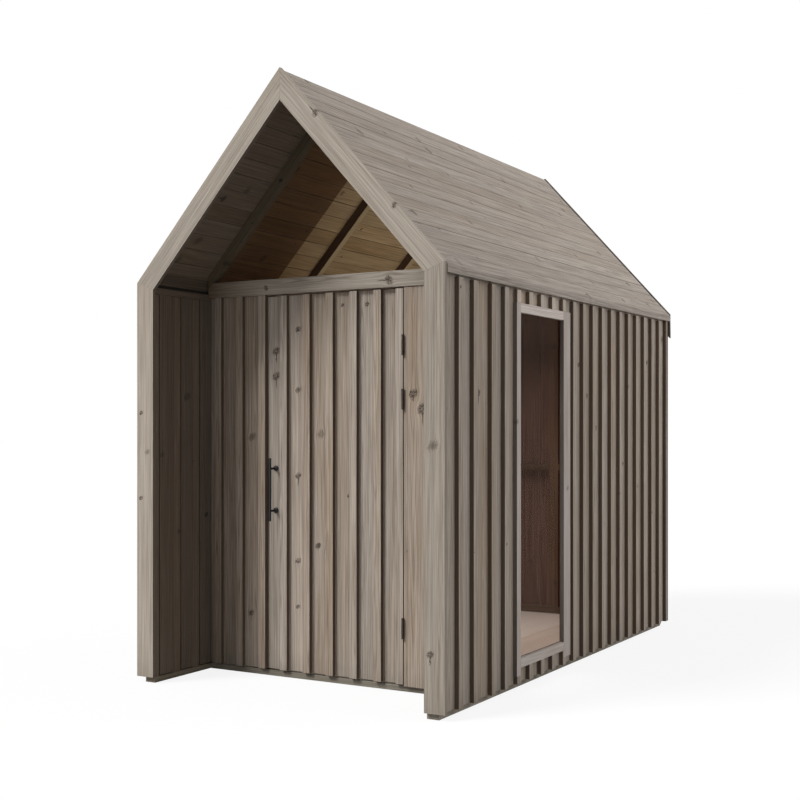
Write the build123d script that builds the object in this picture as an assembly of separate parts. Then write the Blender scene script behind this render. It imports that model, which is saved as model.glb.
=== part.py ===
"""Wooden garden shed with a gabled roof and a recessed porch, in millimetres.

The walls are clad in vertical boards with battens over their joints, on a slim timber frame.
The shed stands on its sills at z = 0. X runs across it, with the side window on the +X side, and
the porch looks along -Y. While the pieces are modelled, y = 0 is the front of the portal boards;
save() then moves each one so that the origin is the middle of the footprint, on the ground.
"""

import os
from math import atan, cos, degrees, tan

from build123d import *

# The building as a whole
WALL_WIDTH = 1816
EAVE_HEIGHT = 2080
RIDGE_HEIGHT = 3080
LENGTH = 3245
PORCH_DEPTH = 460
REAR_OVERHANG = 55

# Timber sections
BOARD = 22
FRAME_DEPTH = 42
STUD_WIDTH = 45
BATTEN_WIDTH = 45
TRIM_WIDTH = 107
SILL_HEIGHT = 30
SILL_WIDTH = 64
SILL_INSET = 40
BOTTOM_RAIL_HEIGHT = 45
MID_RAIL_HEIGHT = 45
MID_RAIL_LEVEL = 1021
BACK_STUD_X = 82
BACK_STUD_WIDTH = 70
PLATE_HEIGHT = 75

# Battens over the joints of the boards. On the side walls the first two stand by the porch and
# the rest are evenly spaced. On the front their right edges are given, from the right edge of
# the fixed boards and of the door.
BATTEN_SPACING = 147.8
FIRST_BATTEN = 118
SECOND_BATTEN_STEP = 154
THIRD_BATTEN_STEP = 194
FIXED_BATTEN_STEPS = (0, 151, 295)
DOOR_BATTEN_STEPS = (0, 129, 274, 419, 564, 709)

# Roof
ROOF_BOARD = 25
ROOF_STEP = 5
EAVE_OVERHANG = 5
RAFTER_WIDTH = 45
RAFTER_DEPTH = 50
RAFTER_SPACING = 860
SPACED_RAFTERS = 3

# Front wall and its beam
BEAM_DROP = 46
BEAM_HEIGHT = 82
BEAM_DEPTH = 92
BEAM_PROUD = 6
FRONT_BOARD_BOTTOM = 36
DOOR_POST_FACE = 20
DOOR_STOP = 20

# Door
DOOR_WIDTH = 844
DOOR_MIDDLE_X = 6
DOOR_GAP = 5
DOOR_BOTTOM = 38
LEDGE_THICKNESS = 28
LEDGE_HEIGHT = 95
LEDGE_END_GAP = 28
LEDGE_FROM_DOOR_END = 152

# Door hinges
HINGE_FROM_DOOR_BOTTOM = 283
HINGE_FROM_DOOR_TOP = 288
UPPER_HINGE_SPACING = 272
HINGE_LENGTH = 104
HINGE_LEAF = 2
HINGE_LEAF_DEPTH = 34
KNUCKLE_COUNT = 3
KNUCKLE_RADIUS = 6.5
KNUCKLE_STAND = 1.5
KNUCKLE_GAP = 0.5
PIN_RADIUS = 3
PIN_CLEARANCE = 0.1

# Door handle
HANDLE_INSET = 52
HANDLE_LEVEL = 996
HANDLE_LENGTH = 334
HANDLE_SPACING = 224
HANDLE_REACH = 58
HANDLE_RADIUS = 7.5
STANDOFF_RADIUS = 6
ROSE_RADIUS = 15.5
ROSE_THICKNESS = 5

# Side window: its pane lies straight behind the boards round the opening
WINDOW_START = 826
WINDOW_WIDTH = 561
WINDOW_SILL = 156
WINDOW_HEIGHT = 1754
WINDOW_TRIM = 48
WINDOW_WIDE_TRIM = 93
WINDOW_TRIM_DROP = 37
GLASS_THICKNESS = 4
GLASS_COVER = 16
GLASS_WIDE_COVER = 53
BEAD = 10
WINDOW_STUD_GAP = 101
WINDOW_RAIL_DROP = 15

# Worked out from the sizes above
HALF = WALL_WIDTH / 2
PITCH = atan((RIDGE_HEIGHT - EAVE_HEIGHT) / HALF)
CLADDING = 2 * BOARD
FRAME_OUT = HALF - CLADDING
FRAME_IN = FRAME_OUT - FRAME_DEPTH
LINING_IN = FRAME_IN - BOARD
SILL_OUT = HALF - SILL_INSET
SILL_IN = SILL_OUT - SILL_WIDTH
RAIL_TOP = SILL_HEIGHT + BOTTOM_RAIL_HEIGHT
MID_RAIL_TOP = MID_RAIL_LEVEL + MID_RAIL_HEIGHT
BOARD_FACE = HALF - BOARD
BACK_FACE = LENGTH - REAR_OVERHANG
BACK_CLADDING = BACK_FACE - CLADDING
BACK_FRAME = BACK_CLADDING - FRAME_DEPTH
BACK_SILL_IN = BACK_FRAME - BOARD
FRONT_BOARD_FACE = PORCH_DEPTH + BOARD
FRONT_BACK = PORCH_DEPTH + CLADDING
FRONT_SILL_BACK = FRONT_BACK + DOOR_GAP + FRAME_DEPTH
BEAM_FRONT = PORCH_DEPTH - BEAM_PROUD
BEAM_BACK = BEAM_FRONT + BEAM_DEPTH
ROOF_TOP_OFFSET = ROOF_STEP
ROOF_UNDER_OFFSET = ROOF_STEP + ROOF_BOARD
RAFTER_UNDER_OFFSET = ROOF_UNDER_OFFSET + RAFTER_DEPTH
PLATE_BOTTOM = EAVE_HEIGHT - ROOF_UNDER_OFFSET / cos(PITCH) - PLATE_HEIGHT
BEAM_BOTTOM = EAVE_HEIGHT - BEAM_DROP
DOOR_LEFT = DOOR_MIDDLE_X - DOOR_WIDTH / 2
DOOR_RIGHT = DOOR_MIDDLE_X + DOOR_WIDTH / 2
DOOR_TOP = BEAM_BOTTOM - DOOR_GAP
LEDGE_LOW = DOOR_BOTTOM + LEDGE_FROM_DOOR_END
LEDGE_HIGH = DOOR_TOP - LEDGE_FROM_DOOR_END - LEDGE_HEIGHT
LEDGE_LEVELS = (LEDGE_LOW, (LEDGE_LOW + LEDGE_HIGH) / 2, LEDGE_HIGH)
HINGE_LOW = DOOR_BOTTOM + HINGE_FROM_DOOR_BOTTOM
HINGE_HIGH = DOOR_TOP - HINGE_FROM_DOOR_TOP
HINGE_LEVELS = (HINGE_LOW, HINGE_HIGH - UPPER_HINGE_SPACING, HINGE_HIGH)
HINGE_X = DOOR_RIGHT + DOOR_GAP / 2
HINGE_Y = PORCH_DEPTH - KNUCKLE_STAND - KNUCKLE_RADIUS
WINDOW_END = WINDOW_START + WINDOW_WIDTH
WINDOW_TOP = WINDOW_SILL + WINDOW_HEIGHT
WINDOW_NEAR_STUD = WINDOW_START - GLASS_COVER + BEAD - STUD_WIDTH
WINDOW_FAR_STUD = WINDOW_END + GLASS_WIDE_COVER + WINDOW_STUD_GAP


def roof_line(x, offset):
    """Height at x of the line lying `offset` square below the portal's outer edge."""
    return RIDGE_HEIGHT - abs(x) * tan(PITCH) - offset / cos(PITCH)


def block(x0, x1, y0, y1, z0, z1):
    """A sawn timber or slab between two corners."""
    middle = Pos((x0 + x1) / 2, (y0 + y1) / 2, (z0 + z1) / 2)
    return middle * Box(abs(x1 - x0), abs(y1 - y0), abs(z1 - z0))


def across(points, y0, y1):
    """A piece with an outline in x and z, running from y0 back to y1."""
    outline = Polyline(*[(x, y0, z) for x, z in points], close=True)
    return extrude(make_face(outline), amount=y1 - y0, dir=(0, 1, 0))


def upright(points, z0, z1):
    """A piece with an outline in x and y, standing from z0 to z1."""
    outline = Polyline(*[(x, y, z0) for x, y in points], close=True)
    return extrude(make_face(outline), amount=z1 - z0, dir=(0, 0, 1))


def mirrored(piece):
    """The same piece on the -X side."""
    return mirror(piece, about=Plane.YZ)


def apart(*pieces):
    """Like pieces that don't touch, kept together as one sub-part."""
    return Compound(children=[piece.solid() for piece in pieces])


def save(name, piece):
    """Writes one sub-part, with the origin in the middle of the footprint."""
    export_step(Pos(0, -LENGTH / 2, 0) * piece, f"parts/{name}.step")


def make_floor():
    """Board floor lying between the sills, level with their tops."""
    return block(-SILL_IN, SILL_IN, FRONT_SILL_BACK, BACK_SILL_IN, 0, SILL_HEIGHT)


def make_side_sill():
    """Ground sill of the right wall with the bottom rail nailed on it, from porch to back."""
    section = [
        (SILL_IN, 0),
        (SILL_OUT, 0),
        (SILL_OUT, SILL_HEIGHT),
        (FRAME_OUT, SILL_HEIGHT),
        (FRAME_OUT, RAIL_TOP),
        (FRAME_IN, RAIL_TOP),
        (FRAME_IN, SILL_HEIGHT),
        (SILL_IN, SILL_HEIGHT),
    ]
    return across(section, BOARD, BACK_CLADDING)


def make_front_sill():
    """Ground sill under the recessed front wall; its top is the door's threshold."""
    front = PORCH_DEPTH + BOARD
    return block(-SILL_IN, SILL_IN, front, FRONT_SILL_BACK, 0, SILL_HEIGHT)


def make_back_sill():
    """Ground sill of the back wall with its bottom rail."""
    base = block(-SILL_IN, SILL_IN, BACK_SILL_IN, BACK_CLADDING, 0, SILL_HEIGHT)
    rail = block(-FRAME_IN, FRAME_IN, BACK_FRAME, BACK_CLADDING, SILL_HEIGHT, RAIL_TOP)
    return base + rail


def side_layer(x0, x1, y0, y1):
    """A layer of a side wall between two planes, its top cut to the slope of the roof boards."""
    section = [
        (x0, SILL_HEIGHT),
        (x1, SILL_HEIGHT),
        (x1, roof_line(x1, ROOF_UNDER_OFFSET)),
        (x0, roof_line(x0, ROOF_UNDER_OFFSET)),
    ]
    return across(section, y0, y1)


def side_batten_starts():
    """Near edges of a side wall's battens, from the porch to the back."""
    second = BOARD + FIRST_BATTEN + SECOND_BATTEN_STEP
    starts = [BOARD + FIRST_BATTEN, second]
    start = second + THIRD_BATTEN_STEP
    while start < BACK_CLADDING - 2 * BATTEN_WIDTH:
        starts.append(start)
        start += BATTEN_SPACING
    return starts


def make_side_wall():
    """Boards of one side with the battens over their joints."""
    wall = side_layer(FRAME_OUT, BOARD_FACE, BOARD, BACK_CLADDING)
    for start in side_batten_starts():
        wall += side_layer(BOARD_FACE, HALF, start, start + BATTEN_WIDTH)
    return wall


def window_trim_outline(x0, x1):
    """The window's side boards run past its bottom board, joined in one closed outline."""
    y0 = WINDOW_START - WINDOW_TRIM
    y1 = WINDOW_END + WINDOW_WIDE_TRIM
    top = WINDOW_TOP + WINDOW_TRIM
    low = WINDOW_SILL - WINDOW_TRIM
    boards = block(x0, x1, y0, y1, low, top)
    boards += block(x0, x1, y0, WINDOW_START, low - WINDOW_TRIM_DROP, low)
    boards += block(x0, x1, WINDOW_END, y1, low - WINDOW_TRIM_DROP, low)
    return boards


def window_hole(x0, x1):
    """The window's clear opening between two planes."""
    return block(x0, x1, WINDOW_START, WINDOW_END, WINDOW_SILL, WINDOW_TOP)


def glass_space(x0, x1, margin=0):
    """The pane's outline between two planes, smaller by margin on each side."""
    return block(
        x0,
        x1,
        WINDOW_START - GLASS_COVER + margin,
        WINDOW_END + GLASS_WIDE_COVER - margin,
        WINDOW_SILL - GLASS_COVER + margin,
        WINDOW_TOP + GLASS_COVER - margin,
    )


def make_right_wall():
    """Side boards cut out for the pane, and battens cut off at the window's boards."""
    wall = make_side_wall()
    wall -= glass_space(FRAME_IN, BOARD_FACE)
    return wall - window_trim_outline(BOARD_FACE, HALF + BOARD)


def make_window_trim():
    """Boards round the window, flush with the battens."""
    return window_trim_outline(BOARD_FACE, HALF) - window_hole(FRAME_IN, HALF + BOARD)


def make_window_frame():
    """Studs each side of the window, a rail below it, and the beads that hold the pane."""
    far_end = WINDOW_FAR_STUD + STUD_WIDTH
    rail_top = WINDOW_SILL - GLASS_COVER - WINDOW_RAIL_DROP
    near = block(
        FRAME_IN, FRAME_OUT, WINDOW_NEAR_STUD, WINDOW_NEAR_STUD + STUD_WIDTH, RAIL_TOP, PLATE_BOTTOM
    )
    far = block(FRAME_IN, FRAME_OUT, WINDOW_FAR_STUD, far_end, RAIL_TOP, PLATE_BOTTOM)
    rail = block(
        FRAME_IN, FRAME_OUT, WINDOW_NEAR_STUD, far_end, rail_top - STUD_WIDTH, rail_top
    )
    pane = BOARD_FACE - GLASS_THICKNESS
    beads = glass_space(FRAME_OUT, pane) - glass_space(FRAME_IN, HALF, BEAD)
    return near + far + rail + beads


def make_window_glass():
    """Clear pane between the beads and the backs of the window's boards."""
    return glass_space(BOARD_FACE - GLASS_THICKNESS, BOARD_FACE)


def make_wing_lining():
    """Inner boards of the porch's side wall, up to the roof boards."""
    section = [
        (LINING_IN, SILL_HEIGHT),
        (FRAME_IN, SILL_HEIGHT),
        (FRAME_IN, roof_line(FRAME_IN, ROOF_UNDER_OFFSET)),
        (LINING_IN, roof_line(LINING_IN, ROOF_UNDER_OFFSET)),
    ]
    return across(section, BOARD, FRONT_BACK)


def battened(left, right, low, high, steps):
    """Front boards between two edges, with battens whose right edges are steps from the right.

    A batten is there where its whole width lies on the boards."""
    wall = block(left, right, FRONT_BOARD_FACE, FRONT_BACK, low, high)
    for step in steps:
        edge = right - step
        if edge - BATTEN_WIDTH >= left:
            wall += block(edge - BATTEN_WIDTH, edge, PORCH_DEPTH, FRONT_BOARD_FACE, low, high)
    return wall


def make_front_wall_left():
    """Fixed boards left of the door, with their battens."""
    right = DOOR_LEFT - DOOR_GAP
    return battened(-LINING_IN, right, FRONT_BOARD_BOTTOM, BEAM_BOTTOM, FIXED_BATTEN_STEPS)


def make_front_wall_right():
    """Plain boards right of the door post, down to the sill."""
    left = DOOR_RIGHT + DOOR_GAP + DOOR_POST_FACE
    return block(left, LINING_IN, PORCH_DEPTH, FRONT_BACK, SILL_HEIGHT, BEAM_BOTTOM)


def make_door_post_left():
    """Post behind the fixed boards; its rebate is the door's stop."""
    joint = DOOR_LEFT - DOOR_GAP
    section = [
        (joint - STUD_WIDTH, FRONT_BACK),
        (joint, FRONT_BACK),
        (joint, FRONT_BACK + DOOR_GAP),
        (DOOR_LEFT + DOOR_STOP, FRONT_BACK + DOOR_GAP),
        (DOOR_LEFT + DOOR_STOP, FRONT_BACK + FRAME_DEPTH),
        (joint - STUD_WIDTH, FRONT_BACK + FRAME_DEPTH),
    ]
    return upright(section, SILL_HEIGHT, BEAM_BOTTOM)


def make_door_post_right():
    """Post that carries the door's hinges; its nose shows between door and boards."""
    face = DOOR_RIGHT + DOOR_GAP
    section = [
        (face, PORCH_DEPTH),
        (face + DOOR_POST_FACE, PORCH_DEPTH),
        (face + DOOR_POST_FACE, FRONT_BACK),
        (face + STUD_WIDTH, FRONT_BACK),
        (face + STUD_WIDTH, FRONT_BACK + FRAME_DEPTH),
        (face, FRONT_BACK + FRAME_DEPTH),
    ]
    return upright(section, SILL_HEIGHT, BEAM_BOTTOM)


def make_front_beam():
    """Beam over the door, its ends cut to seat the first rafters."""
    top = BEAM_BOTTOM + BEAM_HEIGHT
    seat = (RIDGE_HEIGHT - RAFTER_UNDER_OFFSET / cos(PITCH) - top) / tan(PITCH)
    end = roof_line(LINING_IN, RAFTER_UNDER_OFFSET)
    section = [
        (-LINING_IN, BEAM_BOTTOM),
        (LINING_IN, BEAM_BOTTOM),
        (LINING_IN, end),
        (seat, top),
        (-seat, top),
        (-LINING_IN, end),
    ]
    return across(section, BEAM_FRONT, BEAM_BACK)


def back_layer(x0, x1, y0, y1):
    """A layer of the back wall on one side of the middle, up to the slope of the roof boards."""
    section = [
        (x0, SILL_HEIGHT),
        (x1, SILL_HEIGHT),
        (x1, roof_line(x1, ROOF_UNDER_OFFSET)),
        (x0, roof_line(x0, ROOF_UNDER_OFFSET)),
    ]
    return across(section, y0, y1)


def make_back_wall():
    """Back boards, up into the gable and over the ends of the side walls, with their battens."""
    face = BACK_CLADDING + BOARD
    half = back_layer(0, HALF, BACK_CLADDING, face)
    half += back_layer(0, BATTEN_WIDTH / 2, face, BACK_FACE)
    count = round((HALF - BATTEN_WIDTH / 2) / BATTEN_SPACING)
    spacing = (HALF - BATTEN_WIDTH / 2) / count
    for n in range(count):
        middle = (n + 1) * spacing
        half += back_layer(
            middle - BATTEN_WIDTH / 2, middle + BATTEN_WIDTH / 2, face, BACK_FACE
        )
    return half + mirrored(half)


def make_top_plate():
    """Plate along the head of a side wall, bevelled under the roof boards."""
    section = [
        (FRAME_IN, PLATE_BOTTOM),
        (FRAME_OUT, PLATE_BOTTOM),
        (FRAME_OUT, roof_line(FRAME_OUT, ROOF_UNDER_OFFSET)),
        (FRAME_IN, roof_line(FRAME_IN, ROOF_UNDER_OFFSET)),
    ]
    return across(section, BOARD, BACK_CLADDING)


def make_back_posts():
    """Corner posts where the side walls meet the back wall, and the stud between them."""
    front = BACK_CLADDING - STUD_WIDTH
    post = block(FRAME_IN, FRAME_OUT, front, BACK_CLADDING, RAIL_TOP, PLATE_BOTTOM)
    left = BACK_STUD_X
    right = BACK_STUD_X + BACK_STUD_WIDTH
    section = [
        (left, RAIL_TOP),
        (right, RAIL_TOP),
        (right, roof_line(right, RAFTER_UNDER_OFFSET)),
        (left, roof_line(left, RAFTER_UNDER_OFFSET)),
    ]
    return apart(post, mirrored(post), across(section, BACK_FRAME, BACK_CLADDING))


def make_side_mid_rail(y0, y1):
    """Rail at mid height that the side boards are nailed to."""
    return block(FRAME_IN, FRAME_OUT, y0, y1, MID_RAIL_LEVEL, MID_RAIL_TOP)


def make_back_mid_rail():
    """Rail at mid height of the back wall, on both sides of its stud."""
    y0, y1 = BACK_FRAME, BACK_CLADDING
    right = BACK_STUD_X + BACK_STUD_WIDTH
    long_rail = block(-FRAME_IN, BACK_STUD_X, y0, y1, MID_RAIL_LEVEL, MID_RAIL_TOP)
    short_rail = block(right, FRAME_IN, y0, y1, MID_RAIL_LEVEL, MID_RAIL_TOP)
    return apart(long_rail, short_rail)


def make_rafter(foot, y0):
    """Right-hand rafter from its plumb foot up to the ridge."""
    section = [
        (0, roof_line(0, ROOF_UNDER_OFFSET)),
        (foot, roof_line(foot, ROOF_UNDER_OFFSET)),
        (foot, roof_line(foot, RAFTER_UNDER_OFFSET)),
        (0, roof_line(0, RAFTER_UNDER_OFFSET)),
    ]
    return across(section, y0, y0 + RAFTER_WIDTH)


def make_roof():
    """Right-hand slope of lengthwise boards, plumb at the ridge and the eave."""
    edge = HALF + EAVE_OVERHANG
    section = [
        (0, roof_line(0, ROOF_TOP_OFFSET)),
        (edge, roof_line(edge, ROOF_TOP_OFFSET)),
        (edge, roof_line(edge, ROOF_UNDER_OFFSET)),
        (0, roof_line(0, ROOF_UNDER_OFFSET)),
    ]
    return across(section, BOARD, LENGTH - BOARD)


def make_portal_post():
    """Right-hand upright board of the portal, mitred at the knee."""
    inner = HALF - TRIM_WIDTH
    section = [
        (inner, SILL_HEIGHT),
        (HALF, SILL_HEIGHT),
        (HALF, EAVE_HEIGHT),
        (inner, roof_line(inner, TRIM_WIDTH)),
    ]
    return across(section, 0, BOARD)


def make_portal_barge():
    """Right-hand sloping board of the portal, mitred at the knee and the peak."""
    inner = HALF - TRIM_WIDTH
    section = [
        (0, RIDGE_HEIGHT),
        (HALF, EAVE_HEIGHT),
        (inner, roof_line(inner, TRIM_WIDTH)),
        (0, roof_line(0, TRIM_WIDTH)),
    ]
    return across(section, 0, BOARD)


def make_rear_barge():
    """Right-hand bargeboard at the back, with a plumb tail below the eave."""
    section = [
        (0, RIDGE_HEIGHT),
        (HALF, EAVE_HEIGHT),
        (HALF, roof_line(HALF, TRIM_WIDTH)),
        (0, roof_line(0, TRIM_WIDTH)),
    ]
    return across(section, LENGTH - BOARD, LENGTH)


def make_door_leaf():
    """Door of the same boards and battens as the wall beside it."""
    return battened(DOOR_LEFT, DOOR_RIGHT, DOOR_BOTTOM, DOOR_TOP, DOOR_BATTEN_STEPS)


def make_door_ledges():
    """Three ledges across the back of the door."""
    ledges = [
        block(
            DOOR_LEFT + LEDGE_END_GAP,
            DOOR_RIGHT - LEDGE_END_GAP,
            FRONT_BACK,
            FRONT_BACK + LEDGE_THICKNESS,
            level,
            level + LEDGE_HEIGHT,
        )
        for level in LEDGE_LEVELS
    ]
    return apart(*ledges)


def hinge_part(side, knuckles, level, bore):
    """One leaf of a butt hinge with its knuckles, on the axis at HINGE_X, HINGE_Y.

    side is +1 for the leaf on the post and -1 for the leaf on the door.
    """
    leaf_out = HINGE_X + side * DOOR_GAP / 2
    leaf_in = leaf_out - side * HINGE_LEAF
    low = level - HINGE_LENGTH / 2
    leaf_back = PORCH_DEPTH + HINGE_LEAF_DEPTH
    part = block(leaf_in, leaf_out, PORCH_DEPTH, leaf_back, low, low + HINGE_LENGTH)
    share = HINGE_LENGTH / KNUCKLE_COUNT
    for n in knuckles:
        z0 = low + n * share + KNUCKLE_GAP / 2
        height = share - KNUCKLE_GAP
        part += Pos(HINGE_X, HINGE_Y, z0 + height / 2) * Cylinder(KNUCKLE_RADIUS, height)
        part += block(leaf_in, leaf_out, HINGE_Y, PORCH_DEPTH, z0, z0 + height)
    axis = Pos(HINGE_X, HINGE_Y, level)
    if bore:
        return part - axis * Cylinder(PIN_RADIUS + PIN_CLEARANCE, HINGE_LENGTH)
    return part + axis * Cylinder(PIN_RADIUS, HINGE_LENGTH)


def make_hinges(side, knuckles, bore):
    """The three hinges' leaves on one side of the joint."""
    return apart(*[hinge_part(side, knuckles, level, bore) for level in HINGE_LEVELS])


def make_door_handle():
    """Round pull bar on two stand-offs, each with a round rose on the door's first board."""
    x = DOOR_LEFT + HANDLE_INSET
    bar_y = FRONT_BOARD_FACE - HANDLE_REACH
    handle = Pos(x, bar_y, HANDLE_LEVEL) * Cylinder(HANDLE_RADIUS, HANDLE_LENGTH)
    for side in (-1, 1):
        z = HANDLE_LEVEL + side * HANDLE_SPACING / 2
        middle = FRONT_BOARD_FACE - HANDLE_REACH / 2
        handle += Pos(x, middle, z) * Rot(90, 0, 0) * Cylinder(STANDOFF_RADIUS, HANDLE_REACH)
        rose_y = FRONT_BOARD_FACE - ROSE_THICKNESS / 2
        handle += Pos(x, rose_y, z) * Rot(90, 0, 0) * Cylinder(ROSE_RADIUS, ROSE_THICKNESS)
    return handle


def save_pair(name, piece):
    """Writes a right-hand piece and its mirror image on the left."""
    save(f"{name}_right", piece)
    save(f"{name}_left", mirrored(piece))


def save_base():
    """Floor, sills and the frame that stands on them."""
    save("floor", make_floor())
    save_pair("sill", make_side_sill())
    save("sill_front", make_front_sill())
    save("sill_back", make_back_sill())
    save("back_posts", make_back_posts())
    save_pair("top_plate", make_top_plate())
    save("back_mid_rail", make_back_mid_rail())
    rail_end = BACK_CLADDING - STUD_WIDTH
    before_window = make_side_mid_rail(FRONT_BACK, WINDOW_NEAR_STUD)
    past_window = make_side_mid_rail(WINDOW_FAR_STUD + STUD_WIDTH, rail_end)
    save("right_mid_rail", apart(before_window, past_window))
    save("left_mid_rail", mirrored(make_side_mid_rail(FRONT_BACK, rail_end)))


def save_walls():
    """Cladding, porch linings and the window."""
    save("left_wall", mirrored(make_side_wall()))
    save("right_wall", make_right_wall())
    save("back_wall", make_back_wall())
    save_pair("wing_lining", make_wing_lining())
    save("window_trim", make_window_trim())
    save("window_frame", make_window_frame())
    save("window_glass", make_window_glass())


def save_front():
    """Recessed front wall and the portal round the porch."""
    save("front_wall_left", make_front_wall_left())
    save("front_wall_right", make_front_wall_right())
    save("door_post_left", make_door_post_left())
    save("door_post_right", make_door_post_right())
    save("front_beam", make_front_beam())
    save_pair("portal_post", make_portal_post())
    save_pair("portal_barge", make_portal_barge())


def save_roof():
    """Rafters, roof boards and the rear bargeboards."""
    starts = [BEAM_FRONT + n * RAFTER_SPACING for n in range(SPACED_RAFTERS)]
    starts.append(BACK_CLADDING - RAFTER_WIDTH)
    for number, start in enumerate(starts, 1):
        foot = LINING_IN if start < FRONT_BACK else FRAME_IN
        save_pair(f"rafter_{number}", make_rafter(foot, start))
    save_pair("roof", make_roof())
    save_pair("rear_barge", make_rear_barge())


def save_door():
    """Door leaf with its ledges, handle and hinges."""
    save("door_leaf", make_door_leaf())
    save("door_ledges", make_door_ledges())
    save("door_handle", make_door_handle())
    save("hinges_on_door", make_hinges(-1, range(1, KNUCKLE_COUNT, 2), True))
    save("hinges_on_post", make_hinges(1, range(0, KNUCKLE_COUNT, 2), False))


os.makedirs("parts", exist_ok=True)
save_base()
save_walls()
save_front()
save_roof()
save_door()
print("roof pitch", round(degrees(PITCH), 1), "degrees; hinge axis", HINGE_X, HINGE_Y - LENGTH / 2)
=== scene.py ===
"""Wooden garden shed, dressed for rendering, in metres.

The shed is framed, clad and roofed in sawn boards; each board is built on its own, and the
boards of a piece share one mesh. Distances called depth run back from the front of the portal
boards; the timber function adds where that is.
"""

import math

import bpy
import numpy as np
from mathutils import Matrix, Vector


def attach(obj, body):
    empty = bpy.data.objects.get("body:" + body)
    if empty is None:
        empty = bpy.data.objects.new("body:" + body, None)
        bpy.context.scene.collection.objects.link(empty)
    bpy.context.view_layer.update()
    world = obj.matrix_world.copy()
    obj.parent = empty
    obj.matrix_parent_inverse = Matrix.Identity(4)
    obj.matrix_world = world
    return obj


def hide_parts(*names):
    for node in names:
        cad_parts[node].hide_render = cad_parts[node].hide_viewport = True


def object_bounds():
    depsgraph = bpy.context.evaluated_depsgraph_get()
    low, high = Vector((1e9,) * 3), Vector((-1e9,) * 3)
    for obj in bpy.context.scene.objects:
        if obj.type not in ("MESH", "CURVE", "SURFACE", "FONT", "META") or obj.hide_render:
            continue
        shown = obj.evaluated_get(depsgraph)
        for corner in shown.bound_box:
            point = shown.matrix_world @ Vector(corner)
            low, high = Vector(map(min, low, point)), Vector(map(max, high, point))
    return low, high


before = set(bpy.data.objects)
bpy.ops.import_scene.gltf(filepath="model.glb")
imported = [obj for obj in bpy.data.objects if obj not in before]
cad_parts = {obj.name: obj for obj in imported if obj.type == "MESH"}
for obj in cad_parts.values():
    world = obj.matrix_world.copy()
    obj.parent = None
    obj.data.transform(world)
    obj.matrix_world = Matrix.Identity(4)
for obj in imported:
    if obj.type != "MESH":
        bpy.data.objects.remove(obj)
cad_low, cad_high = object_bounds()


# The view and the light. The camera stands at the photograph's place, level, a little above the
# handle's height. The light is a soft sky with a broad lamp high at the front left, a weaker one
# at the back right, and three soft panels in the room that light its ceiling, floor and back.

scene = bpy.context.scene
scene.view_settings.view_transform = "Standard"

lens = bpy.data.cameras.new("photograph_view")
lens.lens = 56.80
lens.sensor_width = 36.0
lens.shift_y = 0.0302
camera = bpy.data.objects.new("photograph_view", lens)
camera.location = (3.5704, -6.6465, 1.3436)
camera.rotation_euler = (math.radians(90), 0, math.radians(29.948))
scene.collection.objects.link(camera)
scene.camera = camera


def linear(text):
    """Linear colour from an sRGB hex value: each channel through the sRGB curve."""
    parts = np.array([int(text[i:i + 2], 16) for i in (0, 2, 4)]) / 255
    curve = np.where(parts <= 0.04045, parts / 12.92, ((parts + 0.055) / 1.055) ** 2.4)
    return (*curve.tolist(), 1.0)


def add(tree, kind, inputs=None, out=0, **settings):
    """Adds a shader node with its settings and input values or links, and gives one output
    socket, or all of them where out is None. A kind is a node's type, and after a colon its
    operation where it has one."""
    kind, colon, operation = kind.partition(":")
    new = tree.nodes.new("ShaderNode" + kind)
    if operation:
        new.operation = operation
    for name, value in settings.items():
        setattr(new, name, value)
    for slot, value in (inputs or {}).items():
        if isinstance(value, bpy.types.NodeSocket):
            tree.links.new(value, new.inputs[slot])
        else:
            new.inputs[slot].default_value = value
    return new.outputs if out is None else new.outputs[out]


COLOURS = {"out": 2, "data_type": "RGBA"}  # what a Mix node needs for mixing colours


def bare_tree(owner):
    """The owner's node tree, emptied."""
    owner.use_nodes = True
    owner.node_tree.nodes.clear()
    return owner.node_tree


def seen_straight(tree):
    """1 where a ray comes from the camera or from a mirror or glass, and 0 elsewhere."""
    ray = add(tree, "LightPath", out=None)
    seen = add(tree, "Math:MAXIMUM", {0: ray["Is Camera Ray"], 1: ray["Is Glossy Ray"]})
    return add(tree, "Math:MAXIMUM", {0: seen, 1: ray["Is Transmission Ray"]})


sky = bpy.data.worlds.new("pale_sky")
scene.world = sky
tree = bare_tree(sky)  # it lights at a third of white, and shows as white
strength = add(tree, "MapRange", {0: seen_straight(tree), 3: 0.33, 4: 1.0})
glow = add(tree, "Background", {0: (1, 1, 1, 1), 1: strength})
add(tree, "OutputWorld", {0: glow}, out=None)

for name, energy, angle, direction in (("front_lamp", 3.05, 22, (-0.43, -0.57, 0.70)),
                                       ("back_lamp", 1.10, 70, (0.75, 0.45, 0.49))):
    lamp = bpy.data.lights.new(name, "SUN")
    lamp.energy = energy
    lamp.angle = math.radians(angle)
    sun = bpy.data.objects.new(name, lamp)
    sun.rotation_euler = Vector(direction).to_track_quat("Z", "Y").to_euler()
    scene.collection.objects.link(sun)

for name, energy, place, turn, length in (("room_panel_down", 16.0, (0, 0.30, 2.00), 0, 2.0),
                                          ("room_panel_up", 4.6, (0, 0.48, 1.85), math.pi, 2.0),
                                          ("room_panel_back", 6.0, (0, -0.98, 0.72),
                                           math.pi / 2, 1.3)):
    lamp = bpy.data.lights.new(name, "AREA")
    lamp.shape = "RECTANGLE"
    lamp.size = 1.2
    lamp.size_y = length
    lamp.spread = math.radians(110)
    lamp.energy = energy
    panel = bpy.data.objects.new(name, lamp)
    panel.location = place
    panel.rotation_euler = (turn, 0, 0)
    panel.visible_camera = False
    panel.visible_glossy = False
    panel.visible_transmission = False
    scene.collection.objects.link(panel)

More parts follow.
